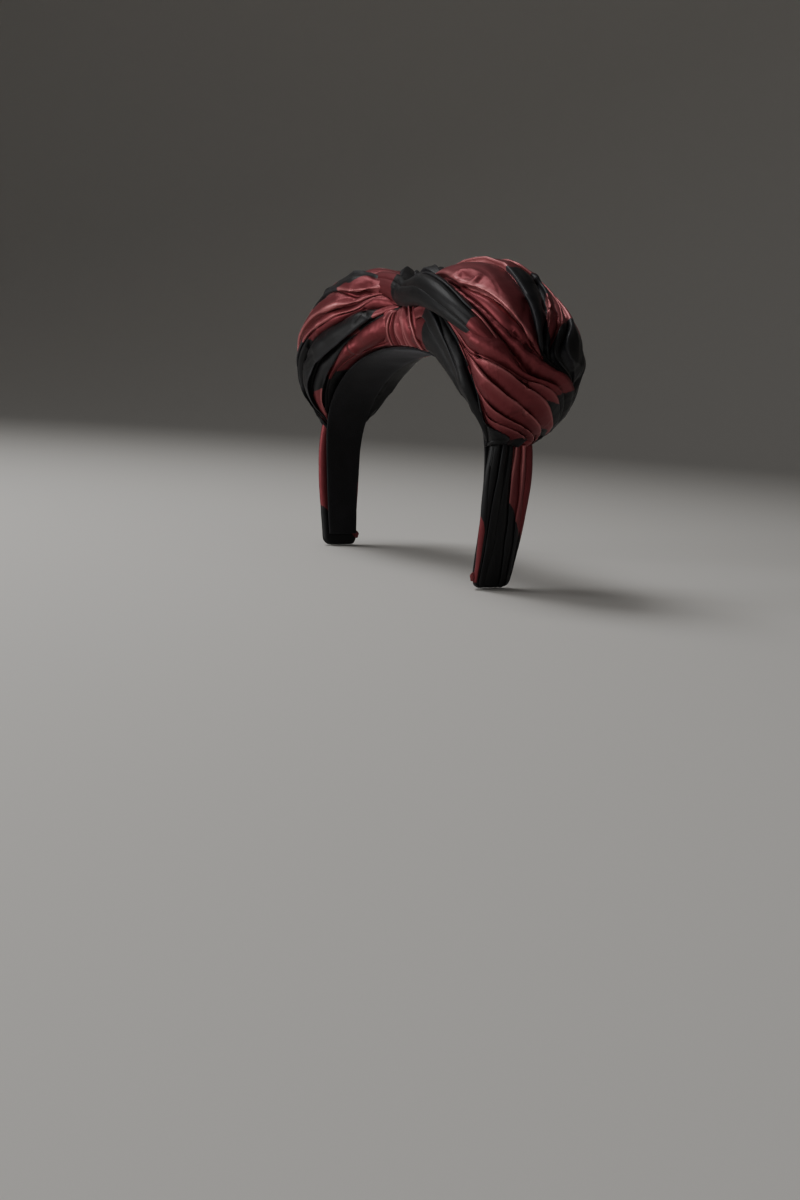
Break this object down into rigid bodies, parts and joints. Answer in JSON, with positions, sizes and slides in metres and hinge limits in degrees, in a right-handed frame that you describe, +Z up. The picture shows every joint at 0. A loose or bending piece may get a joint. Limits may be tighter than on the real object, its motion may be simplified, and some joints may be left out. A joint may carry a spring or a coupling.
{
  "type": "padded turban twist hairband",
  "caption": "Padded hairband of two ruched satin rolls that cross over each other at the crown, with flat covered ends and a velvet lining.",
  "frame": {"origin": "on the floor, midway between the two ends of the band", "axes": "+X towards the wearer's left, -Y towards the face, +Z up from the ends to the crown; the arch lies in the XZ plane"},
  "size_m": [0.1831, 0.061, 0.143],
  "materials": {
    "satin": "two-tone satin, wine red with black patches",
    "black_satin": "black satin",
    "velvet": "matt black velvet"
  },
  "bodies": {
    "root": {"left_roll": "satin", "right_roll": "satin", "front_wrap": "black_satin", "back_wrap": "satin", "left_end": "black_satin", "right_end": "black_satin", "lining": "velvet"}
  },
  "joints": []
}
